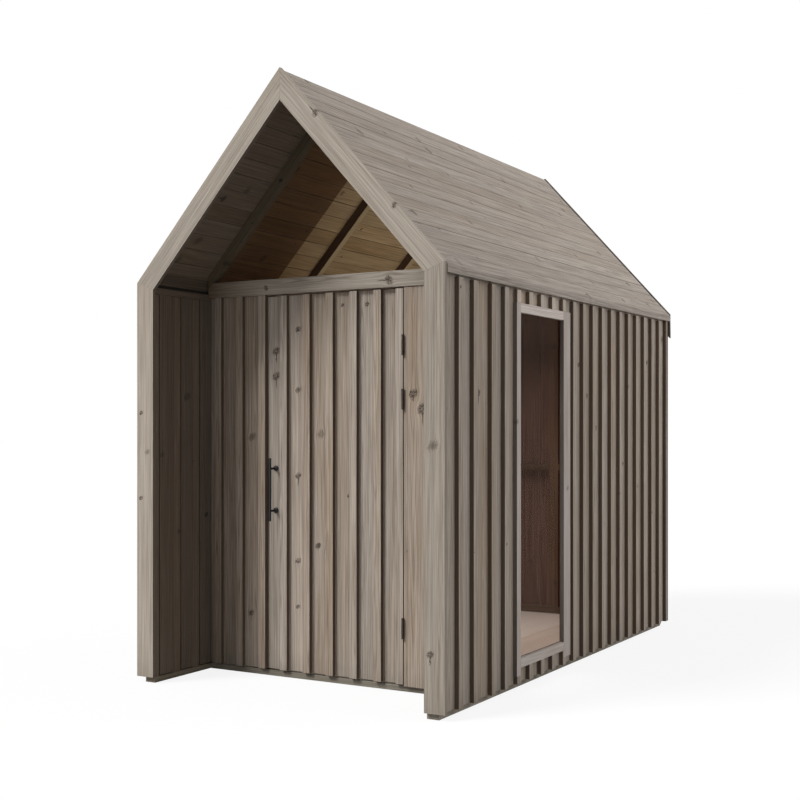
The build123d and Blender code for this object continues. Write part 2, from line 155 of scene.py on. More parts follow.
ground_mesh = bpy.data.meshes.new("studio_floor")
ground_mesh.from_pydata([(-60, -60, 0), (60, -60, 0), (60, 60, 0), (-60, 60, 0)], [],
                        [(0, 1, 2, 3)])
ground = bpy.data.objects.new("studio_floor", ground_mesh)
scene.collection.objects.link(ground)
white = bpy.data.materials.new("studio_floor_paint")
tree = bare_tree(white)
seen = seen_straight(tree)
pale = add(tree, "Mix", {0: seen, 6: (0.36, 0.36, 0.36, 1), 7: (0.93, 0.93, 0.93, 1)}, **COLOURS)
paint = add(tree, "BsdfDiffuse", {0: pale})  # grey to other surfaces, near white where seen
white_light = add(tree, "Emission", {0: (1, 1, 1, 1), 1: 1.0})
share = add(tree, "Math:MULTIPLY", {0: seen, 1: 0.87})
paint = add(tree, "MixShader", {0: share, 1: paint, 2: white_light})
add(tree, "OutputMaterial", {0: paint}, out=None)
ground_mesh.materials.append(white)


# Ground sills. Pressure treated timbers laid flat on the ground under the walls, gone dark and
# greenish from the damp, with the bottom rails of the walls nailed on them.

front = float(cad_low[1])
chance = np.random.default_rng(26)


def unit(vector):
    """The same direction at length 1."""
    vector = np.asarray(vector, float)
    return vector / np.linalg.norm(vector)


def rounded(section, edge):
    """Section with each corner replaced by three points of a quadratic curve that starts and
    ends `edge` away from the corner."""
    before = np.roll(section, 1, 0) - section
    after = np.roll(section, -1, 0) - section
    first = section + edge * before / np.linalg.norm(before, axis=1, keepdims=True)
    last = section + edge * after / np.linalg.norm(after, axis=1, keepdims=True)
    middle = 0.25 * first + 0.5 * section + 0.25 * last
    return np.stack([first, middle, last], 1).reshape(-1, 2)


def timber(at, along, face, width, thick, reach, cuts=(), knots=(), section=None, tone=None,
           hue=None, sides=0.0, back=0.0, ends=0.1, edge=0.0015, bow=0.0007, knot_gap=1.3,
           materials=(0, 0, 0)):
    """One sawn board as arrays: a section carried along a straight line.

    A point of the section lies w across and t out from `at`, which is on the middle of the
    visible face; w runs from -width/2 to width/2 and t from -thick to 0. Each point's line is
    cut off at both ends by reach and by the planes of cuts, given as (point, normal), which
    keep what lies behind them; the rings between stand at equal shares of what is left. A ring
    `edge` in from each end is the arris. The middle bows back by a sine of less than bow.

    Knots are (x, depth, z, radius), and those beside the width don't count; one of a negative
    radius has healed over. More are seeded about knot_gap apart. Sides, back and ends say how
    much of the hidden colour these faces keep, the sides as a pair where they differ, the one
    at -width/2 first. Materials are the indexes for the face, for the sides and the back.
    """
    along, face = unit(along), unit(face)
    across = np.cross(face, along)
    base = np.array(at, float) + (0, front, 0)
    if section is None:
        half = width / 2
        section = [(-half, -thick), (half, -thick), (half, 0), (-half, 0)]
    section = np.array(section, float)
    outline = rounded(section, edge)
    count = len(outline)

    places = base + outline[:, :1] * across + outline[:, 1:] * face
    low = np.full(count, float(reach[0]))
    high = np.full(count, float(reach[1]))
    for point, normal in cuts:
        normal = unit(normal)
        lean = along @ normal
        where = (np.array(point, float) + (0, front, 0) - places) @ normal / lean
        if lean > 0:
            high = np.minimum(high, where)
        else:
            low = np.maximum(low, where)

    # Seeded knots stay 0.2 m off the given ones and 40 mm off the end. They are up to 18 mm in
    # radius, and four in ten have healed over. A board without any has one a kilometre away.
    marks = []
    for x, y, z, radius in knots:
        spot = np.array((x, y + front, z)) - base
        if abs(spot @ across) < width / 2:
            marks.append((spot @ across, spot @ along, radius))
    start, stop = low.min(), high.max()
    if knot_gap:
        place = start + knot_gap * chance.uniform(0.1, 1.3)
        while place < stop - 0.04:
            if all(abs(place - mark[1]) > 0.2 for mark in marks):
                size = min(0.018, 0.2 * width) * chance.uniform(0.3, 1.0)
                size *= -1.4 if chance.uniform() < 0.4 else 1.0
                marks.append((width * chance.uniform(-0.38, 0.38), place, size))
            place += knot_gap * chance.uniform(0.5, 2.0)
    marks = np.array(sorted(marks, key=lambda mark: mark[1]) or [(0.0, 1e3, 0.01)])

    # Rings of points stand at most 0.45 m apart, and halfway between knots, so that each face
    # has one nearest knot.
    steps = max(2, int((stop - start) / 0.45) + 1)
    shares = np.linspace(0, 1, steps + 1)
    if len(marks) > 1:
        halfway = (marks[1:, 1] + marks[:-1, 1]) / 2
        shares = np.concatenate([shares, (halfway - start) / (stop - start)])
    shares = np.unique(np.round(shares[(shares >= 0) & (shares <= 1)], 4))
    middles = start + (shares[1:] + shares[:-1]) / 2 * (stop - start)
    nearest = np.abs(middles[:, None] - marks[None, :, 1]).argmin(1)

    arris = min(edge, (stop - start) / 8)
    inside = (low + arris) + shares[:, None] * (high - low - 2 * arris)
    lengths = np.concatenate([low[None], inside, high[None]])
    centre = (section.max(0) + section.min(0)) / 2
    span = section.max(0) - section.min(0)
    inset = centre + (outline - centre) * (1 - 2 * arris / span)
    shape = np.concatenate([inset[None], np.repeat(outline[None], len(shares), 0), inset[None]])
    rings = len(shape)

    run = np.concatenate([[0], shares, [1]])
    drift = bow * chance.uniform(-1, 1) * np.sin(math.pi * run)
    sink = -bow * chance.uniform(0, 1) * np.sin(math.pi * run)
    points = (base + (shape[..., :1] + drift[:, None, None]) * across
              + (shape[..., 1:] + sink[:, None, None]) * face + lengths[..., None] * along)

    # The pith runs 10 to 45 mm behind the face, on a slope of up to 9 mm a metre.
    slope = chance.choice([-1, 1]) * chance.uniform(0.001, 0.009)
    depth = chance.uniform(0.010, 0.045)
    pith = width * chance.uniform(-0.55, 0.55)
    offset = chance.uniform(1, 60)
    grain = np.stack([shape[..., 0] - pith,
                      shape[..., 1] - depth - abs(slope) * (stop - start) / 2
                      + slope * (lengths - (start + stop) / 2), lengths + offset], -1)

    following = np.roll(outline, -1, 0) - outline
    outward = np.stack([following[:, 1], -following[:, 0]], 1)
    outward /= np.linalg.norm(outward, axis=1, keepdims=True)
    kind = np.where(outward[:, 1] > 0.7, 0, np.where(outward[:, 1] < -0.7, 2, 1))
    near_side, far_side = np.broadcast_to(sides, 2)
    edges = np.where(outward[:, 0] > 0, far_side, near_side)
    hidden = np.where(kind == 1, edges, np.where(kind == 2, back, 0.0))
    side_material = np.array(materials)[kind]

    ring = np.arange(rings - 1)[:, None] * count
    here = np.arange(count)
    then = (here + 1) % count
    quads = np.stack([ring + here, ring + then, ring + count + then, ring + count + here], -1)
    caps = np.concatenate([here[::-1], (rings - 1) * count + here])
    segment = np.concatenate([nearest[:1], nearest, nearest[-1:]])
    segment = np.concatenate([np.repeat(segment, count), [nearest[0], nearest[-1]]])
    knot = np.stack([marks[segment, 0] - pith, marks[segment, 1] + offset, marks[segment, 2]], -1)

    tone = chance.uniform(0.9, 1.1) if tone is None else tone
    hue = chance.uniform(0, 1) if hue is None else hue
    shade = np.concatenate([np.tile(hidden, rings - 1), [ends, ends]])
    look = np.stack([np.full(len(shade), tone), np.full(len(shade), hue), shade], -1)
    return {
        "points": points.reshape(-1, 3),
        "grain": grain.reshape(-1, 3),
        "corners": np.concatenate([quads.reshape(-1), caps]),
        "sizes": np.concatenate([np.full(quads.shape[0] * quads.shape[1], 4), [count, count]]),
        "knot": knot,
        "look": look,
        "material": np.concatenate([np.tile(side_material, rings - 1), [materials[1]] * 2]),
    }


def put(name, mesh, body, slot, *nodes):
    """The mesh as a piece that rides on its body in place of the nodes."""
    piece = bpy.data.objects.new(name, mesh)
    scene.collection.objects.link(piece)
    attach(piece, body)
    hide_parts(*nodes)


def build(name, boards, materials, body, slot, *nodes):
    """One piece of many boards, stacked as arrays."""
    mesh = bpy.data.meshes.new(name)
    counts = np.array([len(board["points"]) for board in boards])
    starts = np.cumsum(counts) - counts
    stack = {key: np.concatenate([board[key] for board in boards]) for key in boards[0]}
    corners, sizes = stack["corners"], stack["sizes"]
    corners += np.repeat(starts, [len(board["corners"]) for board in boards])
    mesh.vertices.add(len(stack["points"]))
    mesh.vertices.foreach_set("co", stack["points"].ravel())
    mesh.loops.add(len(corners))
    mesh.loops.foreach_set("vertex_index", corners)
    mesh.polygons.add(len(sizes))
    mesh.polygons.foreach_set("loop_start", np.cumsum(sizes) - sizes)
    mesh.polygons.foreach_set("material_index", stack["material"])
    mesh.update(calc_edges=True)
    for key, domain in (("grain", "POINT"), ("knot", "FACE"), ("look", "FACE")):
        attribute = mesh.attributes.new(key, "FLOAT_VECTOR", domain)
        attribute.data.foreach_set("vector", stack[key].ravel())
    mesh.shade_flat()
    for material in materials:
        mesh.materials.append(material)
    put(name, mesh, body, slot, *nodes)


def blotches(tree, place, scale, low=0.0, high=1.0, least=0.0, most=1.0, detail=2.0, rough=0.5):
    """Noise whose blotches are 1 / scale metres in size on each axis: it goes evenly from least,
    where the noise is under low, to most, where it is over high."""
    place = add(tree, "VectorMath:MULTIPLY", {0: place, 1: scale})
    noise = add(tree, "TexNoise", {"Vector": place, "Scale": 1.0, "Detail": detail,
                "Roughness": rough})
    return add(tree, "MapRange", {0: noise, 1: low, 2: high, 3: least, 4: most})


def sawn_wood(name, pale, dark, stain, knot_colour, hidden_colour, rings=0.5, streaks=0.7,
              knot_depth=0.9, mottle=0.15, rough=0.85, relief=0.0012, splash=0.0, fibres=1.1):
    """Sawn softwood whose figure follows each board.

    The growth rings are round the pith, which runs just behind the face on a slant, so a ring is
    where the distance from the pith over 3.4 mm is whole, and the face shows long arches. Round
    a knot the fibres part: their distance across grows by q / (1 + q), q being the squared
    distance from the knot in knot radii. The colour goes from pale to dark by the sum of rings,
    streaks, bands (mottle) and fibres, each with its share. Splash is dirt near the ground.
    """
    material = bpy.data.materials.new(name)
    tree = bare_tree(material)
    grain, knot, look = (add(tree, "Attribute", attribute_name=key, out="Vector")
                         for key in ("grain", "knot", "look"))
    across, inward, along = add(tree, "SeparateXYZ", {0: grain}, out=None)
    knot_across, knot_along, radius = add(tree, "SeparateXYZ", {0: knot}, out=None)
    tone, hue, shade = add(tree, "SeparateXYZ", {0: look}, out=None)

    # Distance from the nearest knot, in knot radii, leaning 0.3 across for each 1 along.
    aside = add(tree, "Math:SUBTRACT", {0: across, 1: knot_across})
    beyond = add(tree, "Math:SUBTRACT", {0: along, 1: knot_along})
    lean = add(tree, "Math:MULTIPLY_ADD", {0: beyond, 1: 0.3, 2: aside})
    stretch = add(tree, "Math:MULTIPLY", {0: beyond, 1: 1.1})
    away = add(tree, "CombineXYZ", {0: lean, 1: stretch})
    away = add(tree, "VectorMath:LENGTH", {0: away}, out="Value")
    size = add(tree, "Math:ABSOLUTE", {0: radius})
    away = add(tree, "Math:DIVIDE", {0: away, 1: size})
    square = add(tree, "Math:POWER", {0: away, 1: 2.0})
    parted = add(tree, "Math:ADD", {0: square, 1: 1.0})
    parted = add(tree, "Math:DIVIDE", {0: square, 1: parted})
    fibre = add(tree, "Math:MULTIPLY_ADD", {0: aside, 1: parted, 2: knot_across})
    flow = add(tree, "CombineXYZ", {0: fibre, 1: inward, 2: along})

    # Rings 3.4 mm apart round the pith, wandering by up to 5 mm over a third of a metre.
    wander = blotches(tree, flow, (12, 12, 3), least=-0.005, most=0.005, detail=1.0)
    inward = add(tree, "Math:ADD", {0: inward, 1: wander})
    ring = add(tree, "CombineXYZ", {0: fibre, 1: inward})
    ring = add(tree, "VectorMath:LENGTH", {0: ring}, out="Value")
    ring = add(tree, "Math:MULTIPLY", {0: ring, 1: 2 * math.pi / 0.0034})
    ring = add(tree, "Math:SINE", {0: ring})
    ring = add(tree, "MapRange", {0: ring, 1: -1.0, 2: 1.0})
    ring = add(tree, "Math:POWER", {0: ring, 1: 1.8})

    # Streaks 8 mm wide and 0.6 m long, bands 40 mm wide and 0.9 m long, and fibres drawn 3 mm
    # wide, coarser than real, so that they show.
    streak = blotches(tree, flow, (130, 130, 1.6), 0.38, 0.62, rough=0.6)
    band = blotches(tree, flow, (26, 26, 1.1), 0.32, 0.68)
    strand = blotches(tree, flow, (330, 330, 3), 0.32, 0.68, rough=0.7)
    figure = add(tree, "Math:MULTIPLY", {0: ring, 1: rings})
    for part, share in ((streak, streaks), (band, mottle), (strand, fibres)):
        figure = add(tree, "Math:MULTIPLY_ADD", {0: part, 1: share, 2: figure})
    figure = add(tree, "Math:MULTIPLY", {0: figure, 1: 1 / (rings + streaks + mottle + fibres)})
    spread = add(tree, "MapRange", {0: figure, 1: 0.12, 2: 0.82})
    colour = add(tree, "Mix", {0: spread, 6: linear(pale), 7: linear(dark)}, **COLOURS)

    # Patches 0.1 m wide where the stain still shows, more on boards of a high hue.
    patch = blotches(tree, flow, (9, 9, 1.3), 0.25, 0.75, least=0.2, detail=3.0)
    patch = add(tree, "Math:MULTIPLY", {0: patch, 1: hue})
    colour = add(tree, "Mix", {0: patch, 6: colour, 7: linear(stain)}, blend_type="MULTIPLY",
                 **COLOURS)

    # Knots. A sound one is a ragged ring of dark crumbs, 9 mm in size, in a faint brown stain,
    # and one of over 14 mm has a drying crack down from it; one of a negative radius has healed
    # over and shows as a smudge.
    crumb = blotches(tree, grain, (110, 110, 150), rough=0.7)
    rim = add(tree, "Math:SUBTRACT", {0: away, 1: 0.6})
    rim = add(tree, "Math:ABSOLUTE", {0: rim})
    rim = add(tree, "Math:MULTIPLY_ADD", {0: rim, 1: -0.13, 2: crumb})
    rim = add(tree, "MapRange", {0: rim, 1: 0.43, 2: 0.50}, interpolation_type="SMOOTHSTEP")
    limit = add(tree, "MapRange", {0: away, 1: 1.45, 2: 1.1}, interpolation_type="SMOOTHSTEP")
    rim = add(tree, "Math:MULTIPLY", {0: rim, 1: limit})
    crack = add(tree, "Math:MULTIPLY_ADD", {0: crumb, 1: 0.016, 2: -0.008})
    crack = add(tree, "Math:ADD", {0: aside, 1: crack})
    crack = add(tree, "Math:ABSOLUTE", {0: crack})
    crack = add(tree, "MapRange", {0: crack, 1: 0.0042, 2: 0.0018})
    down = add(tree, "Math:DIVIDE", {0: beyond, 1: size})
    down = add(tree, "Math:ADD", {0: down, 1: 1.4})
    down = add(tree, "Math:ABSOLUTE", {0: down})
    down = add(tree, "MapRange", {0: down, 1: 2.4, 2: 0.8})
    large = add(tree, "MapRange", {0: size, 1: 0.0135, 2: 0.0150})
    for part in (down, large):
        crack = add(tree, "Math:MULTIPLY", {0: crack, 1: part})
    heart = add(tree, "Math:MAXIMUM", {0: rim, 1: crack})
    sound = add(tree, "Math:GREATER_THAN", {0: radius, 1: 0.0})
    heart = add(tree, "Math:MULTIPLY", {0: heart, 1: sound})
    faint = add(tree, "MapRange", {0: sound, 3: 0.55, 4: 0.50})
    halo = add(tree, "Math:MULTIPLY_ADD", {0: crumb, 1: 2.4, 2: -1.2})
    halo = add(tree, "Math:ADD", {0: away, 1: halo})
    halo = add(tree, "MapRange", {0: halo, 1: 1.7, 2: 0.5, 4: faint},
               interpolation_type="SMOOTHSTEP")
    spot = add(tree, "Math:MAXIMUM", {0: heart, 1: halo})
    spot = add(tree, "Math:MULTIPLY", {0: spot, 1: knot_depth})
    colour = add(tree, "Mix", {0: spot, 6: colour, 7: linear(knot_colour)}, **COLOURS)

    # Faces that the weather doesn't reach keep the dark stain, and each board has its own tone;
    # some of these shares and tones are painted light and shade.
    # Dirt splashed up from the ground reaches 20 to 260 mm high.
    colour = add(tree, "Mix", {0: shade, 6: colour, 7: linear(hidden_colour)}, **COLOURS)
    colour = add(tree, "VectorMath:SCALE", {0: colour, "Scale": tone})
    if splash:
        place = add(tree, "TexCoord", out="Object")
        height = add(tree, "SeparateXYZ", {0: place}, out=2)
        reach = blotches(tree, place, (14, 14, 14), least=0.02, most=0.26, detail=4.0)
        dirt = add(tree, "Math:DIVIDE", {0: height, 1: reach})
        dirt = add(tree, "MapRange", {0: dirt, 1: 1.0, 2: 0.0, 4: splash})
        colour = add(tree, "Mix", {0: dirt, 6: colour, 7: linear("5a564a")}, **COLOURS)

    # The dark wood and the knots stand lowest, and the dark wood is the mattest.
    height = add(tree, "Math:MULTIPLY", {0: figure, 1: -1.0})
    height = add(tree, "Math:MULTIPLY_ADD", {0: heart, 1: -0.5, 2: height})
    bump = add(tree, "Bump", {"Strength": 0.6, "Distance": relief, "Height": height})
    gloss = add(tree, "MapRange", {0: figure, 3: rough - 0.08, 4: rough + 0.08})
    surface = add(tree, "BsdfPrincipled", {"Base Color": colour, "Roughness": gloss,
                  "Normal": bump})
    add(tree, "OutputMaterial", {0: surface}, out=None)
    return material


treated_pine = sawn_wood("treated_pine_damp", "a39a8e", "6e665a", "e6dcc6", "2a251d", "4a443b",
                         rings=0.3, splash=0.4)
framing_spruce = sawn_wood("stained_spruce_framing", "6b5340", "4a3626", "c79d74", "1f140c",
                           "55402f", rings=0.35, rough=0.8)

X, Y, Z = np.eye(3)
SILL_TOP = 0.030
SILL_WIDTH = 0.064
SILL_IN = 0.804  # inner edges of the side sills, out from the middle
STUD = 0.045, 0.042  # width and thickness of the walls' timbers
STUD_IN, STUD_OUT = 0.822, 0.864  # their faces in the side walls
STUD_BACK = 3.104  # depth of their inner face in the back wall
LOW_RAIL, RAIL_TOP = SILL_TOP + STUD[0] / 2, SILL_TOP + STUD[0]
WALL_START, WALL_END = 0.022, 3.146  # depths of the side walls' ends
WALL_REACH = 0, WALL_END - WALL_START
sills, rails = [], []
for side in (-1, 1):
    middle = side * (SILL_IN + SILL_WIDTH / 2)
    sills.append(timber((middle, WALL_START, SILL_TOP), Y, Z, SILL_WIDTH, SILL_TOP, WALL_REACH,
                        tone=1.2 if side < 0 else 1.5, bow=0.0, ends=0.0))
    rails.append(timber((side * STUD_OUT, WALL_START, LOW_RAIL), Y, side * X, *STUD, WALL_REACH,
                        bow=0.0, materials=(1, 1, 1)))
for depth, width in ((0.5165, 0.069), (3.114, SILL_WIDTH)):
    sills.append(timber((-SILL_IN, depth, SILL_TOP), X, Z, width, SILL_TOP, (0, 2 * SILL_IN),
                        bow=0.0))
rails.append(timber((-STUD_IN, STUD_BACK, LOW_RAIL), X, -Y, *STUD, (0, 2 * STUD_IN), bow=0.0,
                    materials=(1, 1, 1)))
build("ground_sills", sills + rails, [treated_pine, framing_spruce], "shed", "sill_timber",
      "sill_left", "sill_right", "sill_front", "sill_back")


# Floor. Planed spruce boards laid tight from the door to the back, level with the sills' tops,
# clean and light because they are under cover.

floor_spruce = sawn_wood("planed_spruce_floor", "c1b0a4", "b19f93", "f2e8dc", "6b4a2e", "8d7964",
                         rings=0.4, streaks=0.4, knot_depth=0.5, mottle=0.3, rough=0.6,
                         relief=0.0003)
FLOOR_BOARDS = 14
pitch = 2 * SILL_IN / FLOOR_BOARDS
planks = [timber((-SILL_IN + (i + 0.5) * pitch, 0.551, SILL_TOP), Y, Z, pitch - 0.0004,
                 SILL_TOP, (0, 2.531), edge=0.0006, bow=0.0, tone=chance.uniform(0.98, 1.03))
          for i in range(FLOOR_BOARDS)]
build("floor_planks", planks, [floor_spruce], "shed", "floor_boards", "floor")


# Wall framing. Spruce posts, plates and mid rails behind the boards, 42 mm deep, stained brown,
# screwed together at the corners; the plates are bevelled to the roof's slope.

PITCH = math.atan(1.0 / 0.908)  # the portal rises 1 m from its corners, 0.908 m out
RISE, RUN = math.sin(PITCH), math.cos(PITCH)
RIDGE = 3.080
BOARDS_UNDER, RAFTERS_UNDER = 0.030, 0.080  # the roof's layers end so far square below it
PLATE_FOOT = 1.9604
MID_RAIL = 1.0435
BACK_POST = 3.101
FRONT_STUD, FRONT_STUD_BACK = 0.504, 0.546  # depths of the front wall timbers' faces
FRONT_TOP = 2.034  # where the beam sits on them


def roof_line(x, offset):
    """Height at x of the line `offset` square below the portal boards' outer edge."""
    return RIDGE - abs(x) * math.tan(PITCH) - offset / RUN


def roof_cut(side, offset):
    """The plane through that line on one side, for cutting what ends under the roof."""
    return (0, 0, roof_line(0, offset)), (side * RISE, 0, RUN)


def upright(x, depth, face, width, thick, low, high, **more):
    """A standing board whose face is at x, depth."""
    return timber((x, depth, 0), Z, face, width, thick, (low, high), **more)


framing = []
for side in (-1, 1):
    half = STUD[1] / 2
    section = [(-half, 0), (half, 0), (half, roof_line(STUD_IN, BOARDS_UNDER) - PLATE_FOOT),
               (-half, roof_line(STUD_OUT, BOARDS_UNDER) - PLATE_FOOT)]
    if side < 0:
        section = [(-w, t) for w, t in section[::-1]]
    middle = side * (STUD_IN + half)
    framing.append(timber((middle, WALL_START, PLATE_FOOT), Y, Z, STUD[1], 0.12, WALL_REACH,
                          section=section, tone=0.9))
    framing.append(upright(middle, BACK_POST, -Y, *STUD[::-1], RAIL_TOP, PLATE_FOOT))
for x, start, length in ((-STUD_IN, FRONT_STUD, 2.597), (STUD_IN, FRONT_STUD, 0.271),
                         (STUD_IN, 1.586, 1.515)):
    framing.append(timber((x, start, MID_RAIL), Y, (-x, 0, 0), *STUD, (0, length)))
# The back wall's mid rails are toned down to three quarters: painted shade.
for start, length in ((-STUD_IN, 0.904), (0.152, 0.670)):
    framing.append(timber((start, STUD_BACK, MID_RAIL), X, -Y, *STUD, (0, length), tone=0.75))
under_rafters = [roof_cut(side, RAFTERS_UNDER) for side in (-1, 1)]
framing.append(upright(0.117, STUD_BACK, -Y, 0.070, STUD[1], RAIL_TOP, RIDGE,
                       cuts=under_rafters))
POST = -0.431  # middle of the left door post, which is stepped as a stop for the door
post = [(-0.466, FRONT_STUD), (-0.421, FRONT_STUD), (-0.421, 0.509), (-0.396, 0.509),
        (-0.396, FRONT_STUD_BACK), (-0.466, FRONT_STUD_BACK)]
framing.append(upright(POST, FRONT_STUD, -Y, 0.070, STUD[1], SILL_TOP, FRONT_TOP,
                       section=[(POST - x, FRONT_STUD - depth) for x, depth in post]))
build("wall_framing", framing, [framing_spruce], "shed", "inner_framing", "top_plate_left",
      "top_plate_right", "back_posts", "left_mid_rail", "right_mid_rail", "back_mid_rail",
      "door_post_left")


# Rafters. Four pairs of 45 x 50 mm spruce, cut plumb at the ridge and over the plates. The first
# pair stands over the beam in the open gable and has gone grey-brown.

gable_spruce = sawn_wood("gable_spruce_aged", "6c6150", "4e4538", "e6d8bc", "17110b", "3b3226",
                         rings=0.35)
# The inner rafters' upper and under faces are pale, coloured like the ceiling's painted pool of
# light: painted light.
planed_spruce = sawn_wood("rafter_sides_painted_light", "b39f7c", "9b8764", "efe0c4", "4b3520", "8b7556",
                          rings=0.35)


def plumb_cuts(side, foot):
    """Planes that cut a sloping board plumb at the ridge and at foot out from the middle."""
    return [((0, 0, 0), (-side, 0, 0)), ((side * foot, 0, 0), (side, 0, 0))]


GABLE = 0.454  # depth of the open gable's face
PORCH = 0.800  # the porch walls' inner faces, out from the middle
middle = (BOARDS_UNDER + RAFTERS_UNDER) / 2
rafters = []
for depth in (GABLE, 1.314, 2.174, BACK_POST):
    for side in (-1, 1):
        rafters.append(timber((0, depth, roof_line(0, middle)), (side * RUN, 0, -RISE), -Y,
                              0.050, 0.045, (-0.1, 1.5), knot_gap=0.5,
                              cuts=plumb_cuts(side, PORCH if depth == GABLE else STUD_IN),
                              materials=(1, 1, 1) if depth == GABLE else (0, 2, 0)))
build("roof_rafters", rafters, [framing_spruce, gable_spruce, planed_spruce], "shed",
      "inner_framing",
      *[f"rafter_{i}_{side}" for i in (1, 2, 3, 4) for side in ("left", "right")])


# Wall cladding. Vertical 22 x 145 mm spruce boards, nailed 3 mm apart to the frame, with 22 x 45
# mm battens over their joints; the faces have weathered to a warm grey and the battens' sides,
# which the sun doesn't bleach, keep the dark stain.

weathered_spruce = sawn_wood("weathered_spruce_cladding", "bfb4a9", "83776b", "ecdfcf", "33241a",
                             "4e3d2d", splash=0.25)
inner_spruce = sawn_wood("stained_spruce_inside", "6d5041", "402b21", "e0bca0", "23170f",
                         "4a3829", rings=0.35, rough=0.8)
cladding = [weathered_spruce, inner_spruce]
LINED = 0, 0, 1  # indexes for a board that is stained brown on its back
BOARD = 0.022  # thickness
BATTEN = 0.045  # width
GAP = 0.003
BOARD_FACE, BATTEN_FACE = 0.886, 0.908
WALL_TOP, BATTEN_TOP = 2.052, 2.023
REAR_BOARD, REAR_BATTEN = 3.168, 3.190
STAINED = 0.86  # share of the stain's colour on sides that don't weather
NEAR_JAMB, FAR_JAMB = 0.810, 1.440  # the window's opening in the boards
OPENING_FOOT, OPENING_HEAD = 0.140, 1.926
battens = [0.140, 0.294] + [0.488 + i * 0.1478 for i in range(18)]
side_knots = [(0.207, 1.967, 0.009), (0.385, 1.492, 0.016), (0.527, 1.632, 0.017),
              (1.657, 1.678, 0.012), (1.779, 1.505, 0.013)]


def between(joints):
    """The edges of the boards between joints, half of GAP in from each inner joint."""
    inner = np.array(joints[1:-1])
    return zip([joints[0], *(inner + GAP / 2)], [*(inner - GAP / 2), joints[-1]])


def batten(x, depth, face, low, high, **more):
    """A batten whose face is at x, depth, with 1 mm of it let into the boards."""
    return upright(x, depth, face, BATTEN, BOARD + 0.001, low, high, sides=STAINED, back=0.9,
                   **more)


def side_boards(side):
    """Boards and battens of a side wall. Battens start at the depths listed, and boards run
    between the battens' middles; at the window both stop under it and go on over it. The wall
    is lighter towards the back and, as in the photograph, lighter still over the window, where
    this is painted light in the eave's shade."""
    parts = []
    face = side * X
    window = side > 0
    for start in battens:
        spans = [(SILL_TOP, BATTEN_TOP)]
        if window and 0.77 < start < 1.48:
            spans = [(SILL_TOP, 0.071 if start < 0.80 else 0.108), (1.958, BATTEN_TOP)]
        for low, high in spans:
            # Over the window the battens are toned 1.45 times lighter: painted light in the eave's
            # shade.
            light = (0.89 + 0.09 * start) * (1.0 if low < 1.9 else 1.45)
            parts.append(batten(side * BATTEN_FACE, start + BATTEN / 2, face, low, high,
                                knot_gap=2.5, tone=chance.uniform(0.93, 1.04) * light))
    for near, far in between([WALL_START, *(np.array(battens) + BATTEN / 2), WALL_END]):
        spans = [(near, far, SILL_TOP, WALL_TOP)]
        if window and far > NEAR_JAMB and near < FAR_JAMB:
            edges = max(near, NEAR_JAMB), min(far, FAR_JAMB)
            spans = [(*edges, SILL_TOP, OPENING_FOOT), (*edges, OPENING_HEAD, WALL_TOP)]
            if far > FAR_JAMB:
                spans.append((FAR_JAMB, far, SILL_TOP, WALL_TOP))
        for near, far, low, high in spans:
            # Over the window the boards are toned 1.45 times lighter: painted light in the eave's
            # shade.
            light = (0.89 + 0.09 * near) * (1.0 if low < 1.9 else 1.45)
            knots = [(side * BOARD_FACE, depth, z, radius) for depth, z, radius in side_knots
                     if window and near < depth < far]
            parts.append(upright(side * BOARD_FACE, (near + far) / 2, face, far - near, BOARD,
                                 low, high, knots=knots, knot_gap=0 if knots else 1.6,
                                 tone=chance.uniform(0.92, 1.03) * light, materials=LINED))
    return parts


for side, name in ((1, "right"), (-1, "left")):
    build(f"{name}_wall_cladding", side_boards(side), cladding, "shed", "weathered_cladding",
          f"{name}_wall")

rear = []
middles = np.linspace(-1, 1, 13) * (BATTEN_FACE - BATTEN / 2)
for x in middles:
    top = roof_line(abs(x) + BATTEN / 2, BOARDS_UNDER) - 0.004
    rear.append(batten(x, REAR_BATTEN, Y, SILL_TOP, top))
for left, right in between([-BATTEN_FACE, *middles[1:-1], BATTEN_FACE]):
    x = (left + right) / 2
    corner = abs(x) > PORCH  # its back shows past the side wall, and isn't stained brown
    rear.append(upright(x, REAR_BOARD, Y, right - left, BOARD, SILL_TOP, RIDGE,
                        cuts=[roof_cut(1 if x > 0 else -1, BOARDS_UNDER)],
                        back=STAINED if corner else 0.0,
                        materials=(0, 0, 0) if corner else LINED))
build("back_wall_cladding", rear, cladding, "shed", "weathered_cladding", "back_wall")


# Side window. A fixed pane let in between the boards, held at its back by thin beads, with 22 mm
# planed boards over its edges, flush with the battens: a 48 mm board before it, a 93 mm one behind
# it, and both run on down past the bottom board. Studs stand either side of it inside.

window_spruce = sawn_wood("planed_spruce_window_boards", "cbc3be", "a69c96", "f2eae2", "4a3c32",
                          "4b4038", rings=0.3, streaks=0.5)
trims = []
for middle, width in ((0.802, 0.048), (1.4335, 0.093)):
    trims.append(upright(BATTEN_FACE, middle, X, width, BOARD, 0.071, 1.958, sides=0.8,
                         tone=1.0, bow=0.0003))
# The top board is toned much lighter than the bottom one: painted light in the eave's shade.
for z, tone in ((0.132, 1.06), (1.934, 1.35)):
    trims.append(timber((BATTEN_FACE, 0.826, z), Y, X, 0.048, BOARD, (0, 0.561), sides=0.5,
                        tone=tone, bow=0.0003))
build("window_boards", trims, [window_spruce], "shed", "pale_window_boards", "window_trim")

